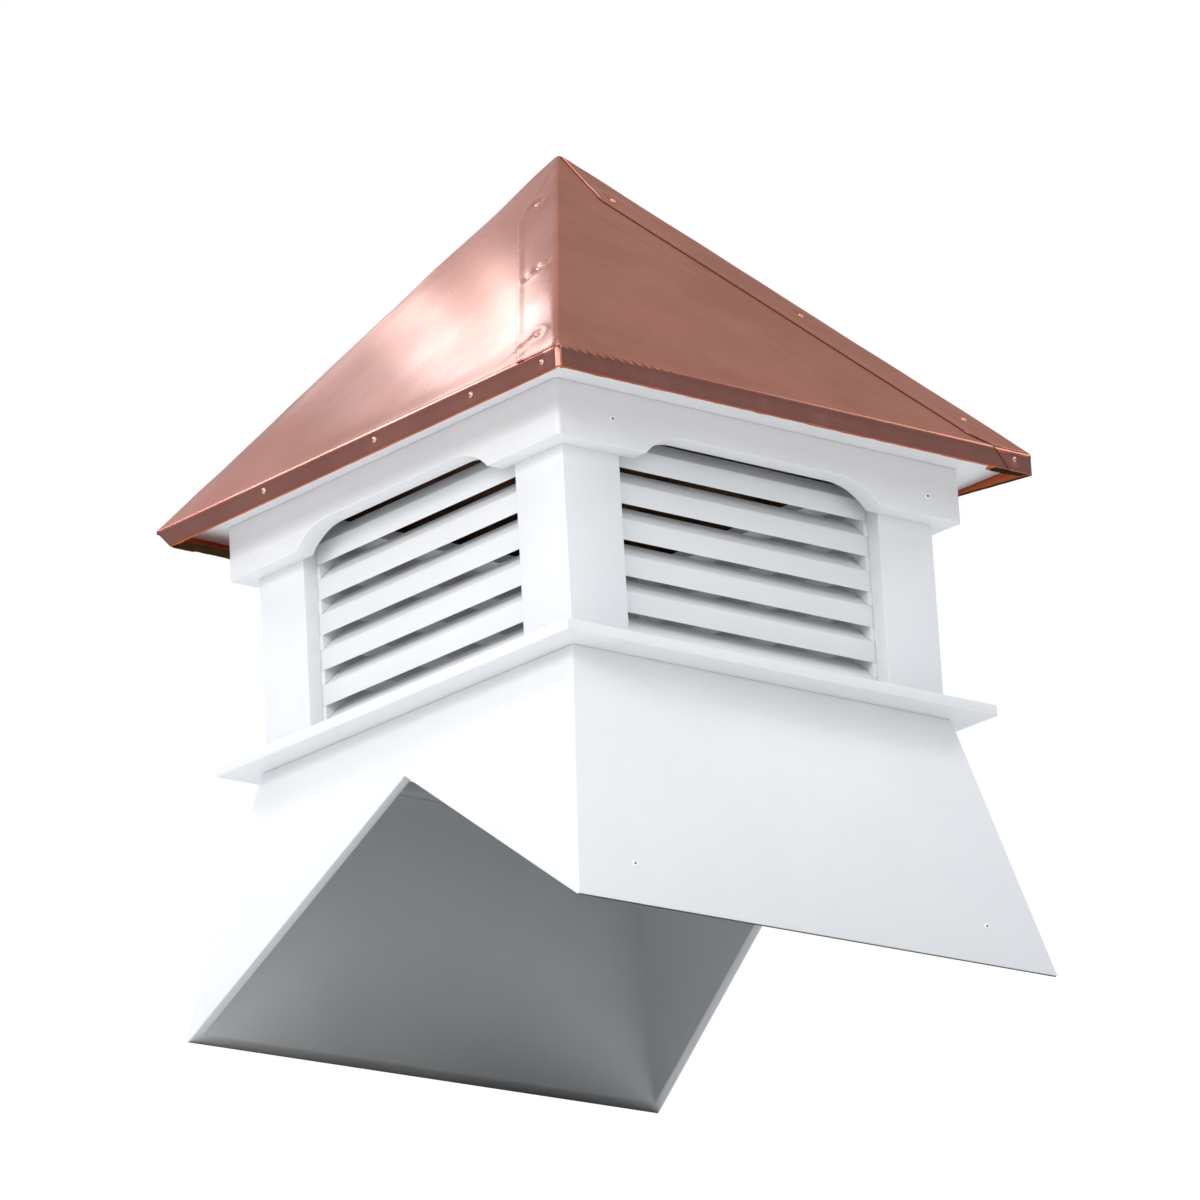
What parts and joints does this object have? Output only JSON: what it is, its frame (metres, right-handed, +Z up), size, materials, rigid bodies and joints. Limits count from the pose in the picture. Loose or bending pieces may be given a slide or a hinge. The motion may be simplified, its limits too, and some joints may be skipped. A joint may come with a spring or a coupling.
{
  "type": "barn cupola",
  "caption": "Square white louvred roof cupola with a flared base cut to straddle a ridge, a shouldered frieze and a hipped copper roof.",
  "frame": {"origin": "centre of the plan at the level of the feet of the front and back base walls", "axes": "+Z up, X along the ridge the base straddles, the front faces -Y"},
  "size_m": [0.54, 0.565, 0.792],
  "materials": {
    "white_pvc": "satin white",
    "plywood": "bare, in the shade",
    "copper": "new bare sheet copper, faintly hazed"
  },
  "bodies": {
    "root": {"base_wall_front": "white_pvc", "base_wall_right": "white_pvc", "base_wall_back": "white_pvc", "base_wall_left": "white_pvc", "sill_front": "white_pvc", "sill_right": "white_pvc", "sill_back": "white_pvc", "sill_left": "white_pvc", "corner_post_front_left": "white_pvc", "corner_post_front_right": "white_pvc", "corner_post_back_right": "white_pvc", "corner_post_back_left": "white_pvc", "louvre_stiles_front": "white_pvc", "louvre_stiles_right": "white_pvc", "louvre_stiles_back": "white_pvc", "louvre_stiles_left": "white_pvc", "louvre_slats_front": "white_pvc", "louvre_slats_right": "white_pvc", "louvre_slats_back": "white_pvc", "louvre_slats_left": "white_pvc", "frieze_front": "white_pvc", "frieze_right": "white_pvc", "frieze_back": "white_pvc", "frieze_left": "white_pvc", "soffit_front": "white_pvc", "soffit_right": "white_pvc", "soffit_back": "white_pvc", "soffit_left": "white_pvc", "roof_deck_front": "plywood", "roof_deck_right": "plywood", "roof_deck_back": "plywood", "roof_deck_left": "plywood", "roof_sheet_front": "copper", "roof_sheet_right": "copper", "roof_sheet_back": "copper", "roof_sheet_left": "copper"}
  },
  "joints": []
}
